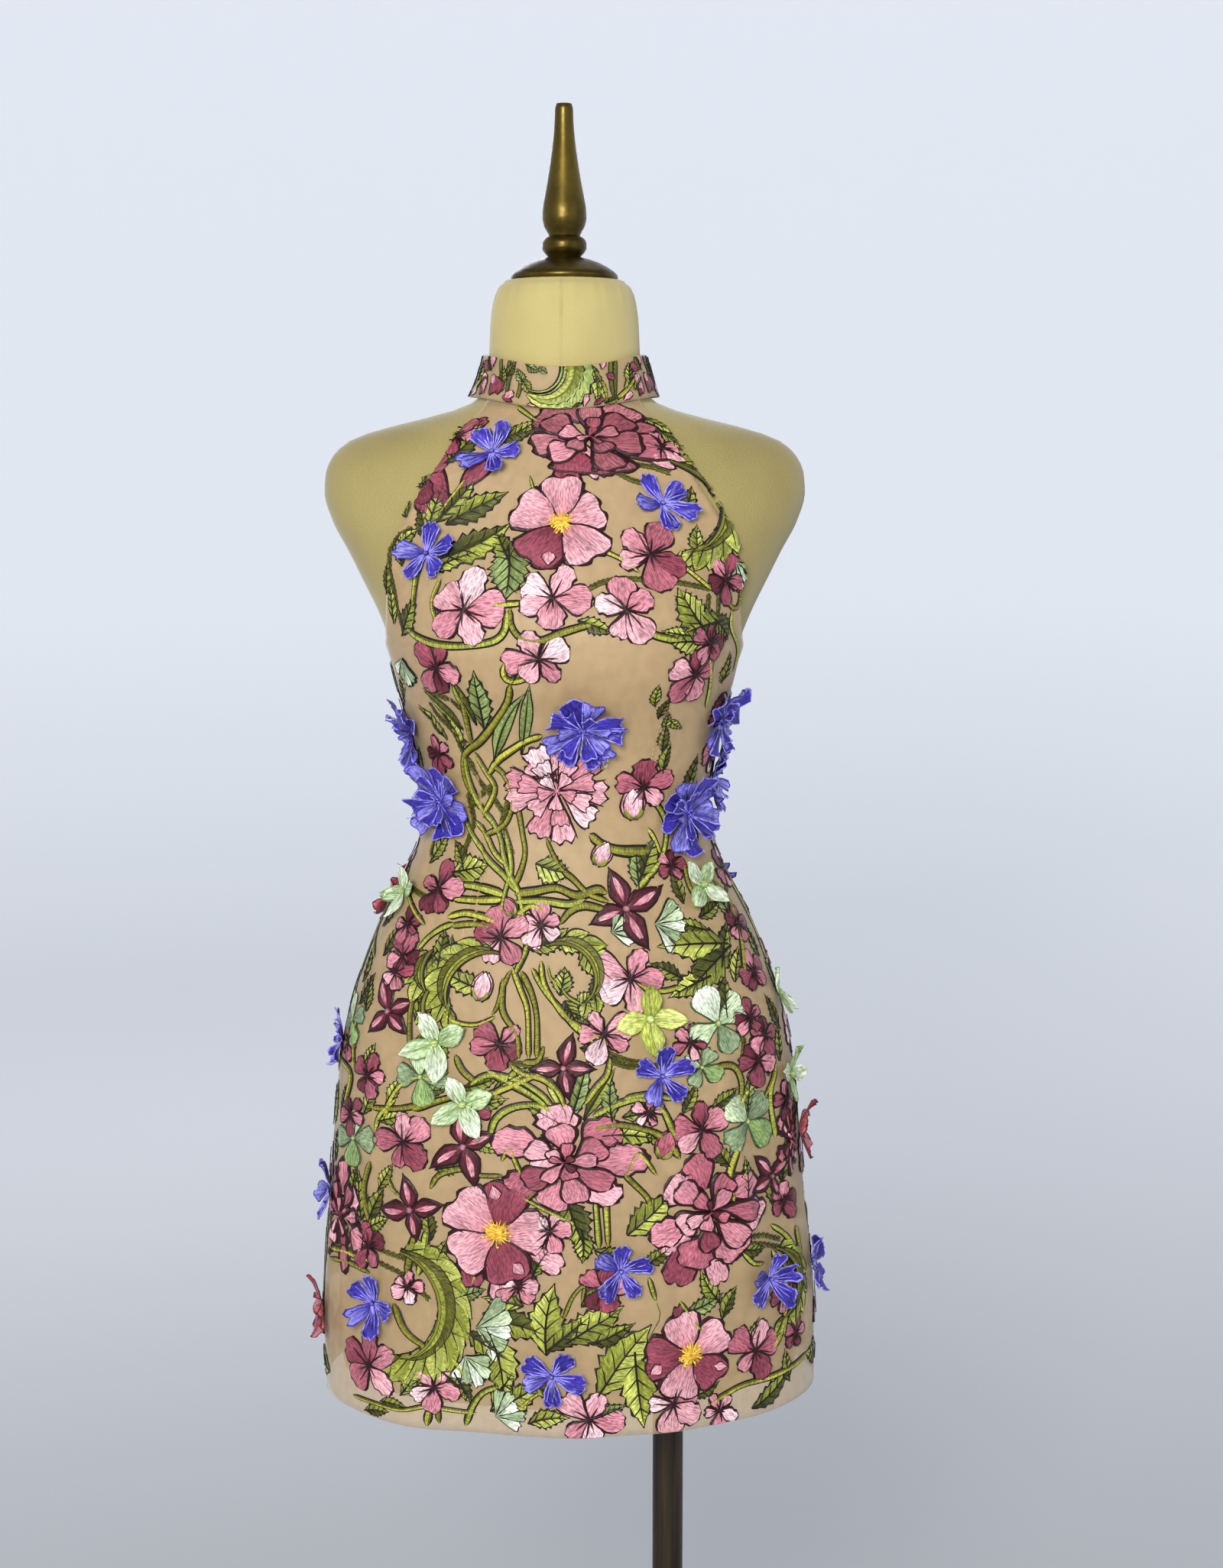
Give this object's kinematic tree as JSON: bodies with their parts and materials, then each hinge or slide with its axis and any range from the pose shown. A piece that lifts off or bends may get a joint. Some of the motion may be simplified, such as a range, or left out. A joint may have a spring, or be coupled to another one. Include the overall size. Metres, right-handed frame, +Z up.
{
  "type": "halter dress on dress form",
  "caption": "Sleeveless halter mini dress with a stand neckband, sheer floral embroidered overlay on a plain lining, worn by a limbless dress form on a round-based pole.",
  "frame": {"origin": "on the floor, under the middle of the round base and of the body", "axes": "+Z up along the body, -Y the front of the dress, +X to the right seen from the front"},
  "size_m": [0.46, 0.46, 1.6735],
  "materials": {
    "lining": "nude stretch lining with a soft sheen",
    "net": "sheer tan net with satin stitch embroidery",
    "violet_thread": "glossy violet satin stitch",
    "green_thread": "pale green satin stitch",
    "rose_thread": "dusky rose satin stitch",
    "jersey": "khaki gold jersey stretched over padding",
    "gilt": "antique gold paint, satin",
    "dark_wood": "dark stained, worn along the grain",
    "dark_metal": "darkened, satin",
    "button": "button covered in the lining cloth"
  },
  "bodies": {
    "root": {"base": "dark_wood", "cornflower_01": "violet_thread", "cornflower_02": "violet_thread", "cornflower_03": "violet_thread", "cornflower_04": "violet_thread", "cornflower_05": "violet_thread", "cornflower_06": "violet_thread", "cornflower_07": "violet_thread", "cornflower_08": "violet_thread", "cornflower_09": "violet_thread", "form_flange": "dark_metal", "form_torso": "jersey", "lining_back_left": "lining", "lining_back_right": "lining", "lining_front": "lining", "mint_01": "green_thread", "mint_02": "green_thread", "mint_03": "green_thread", "mint_04": "green_thread", "mint_05": "green_thread", "mint_06": "green_thread", "mint_07": "green_thread", "mint_08": "green_thread", "mint_09": "green_thread", "mint_10": "green_thread", "neck_finial": "gilt", "neckband": "net", "neckband_button_1": "button", "neckband_button_2": "button", "overlay_back_left": "net", "overlay_back_right": "net", "overlay_front": "net", "pole": "dark_wood", "pole_socket": "dark_metal", "rosette_01": "rose_thread", "rosette_02": "rose_thread", "rosette_03": "rose_thread", "violet_01": "violet_thread", "violet_02": "violet_thread", "violet_03": "violet_thread", "violet_04": "violet_thread", "violet_05": "violet_thread", "violet_06": "violet_thread", "violet_07": "violet_thread", "violet_08": "violet_thread", "violet_09": "violet_thread", "violet_10": "violet_thread", "violet_11": "violet_thread", "violet_12": "violet_thread", "violet_13": "violet_thread", "violet_14": "violet_thread", "violet_15": "violet_thread", "violet_16": "violet_thread"}
  },
  "joints": []
}
